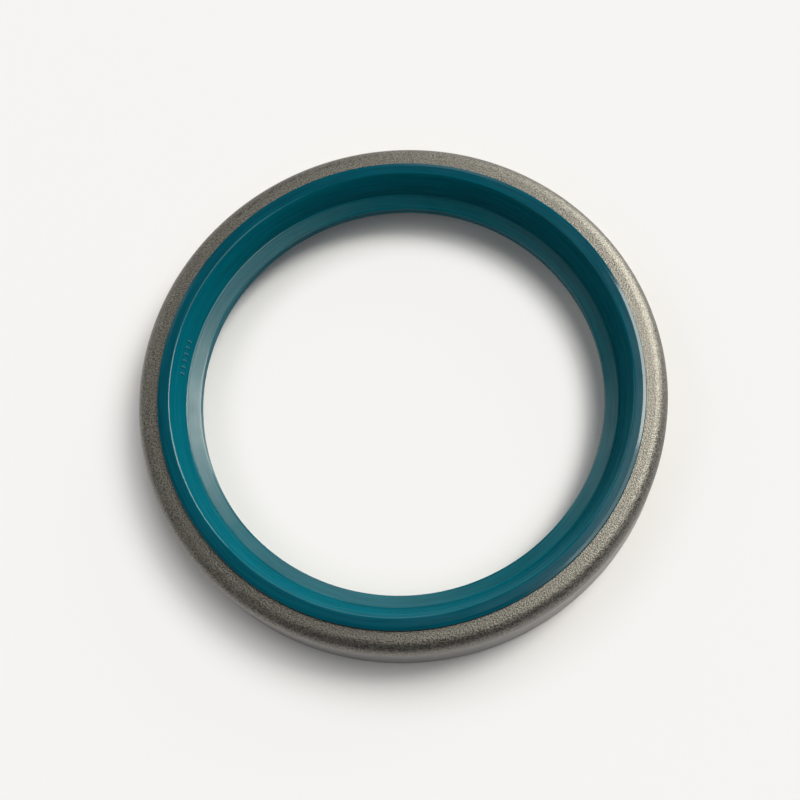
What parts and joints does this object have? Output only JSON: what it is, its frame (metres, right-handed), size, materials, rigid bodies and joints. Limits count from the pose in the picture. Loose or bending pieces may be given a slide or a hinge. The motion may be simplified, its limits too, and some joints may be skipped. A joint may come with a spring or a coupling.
{
  "type": "rotary shaft oil seal",
  "caption": "Rotary shaft oil seal: a pressed steel case with a rounded edge holds a moulded teal rubber lip, pulled onto the shaft by a garter spring.",
  "frame": {"origin": "centre of the seal's axis in the plane of the open end's rim, on which it lies", "axes": "+Z along the shaft axis, from the open spring side to the closed side; X and Y are equivalent"},
  "size_m": [0.074, 0.074, 0.01],
  "materials": {
    "case_steel": "matt blasted, warm grey",
    "lip_rubber": "smooth moulded teal rubber, satin gloss",
    "spring_steel": "drawn bright wire"
  },
  "bodies": {
    "root": {"steel_case": "case_steel", "sealing_lip": "lip_rubber", "garter_spring": "spring_steel"}
  },
  "joints": []
}
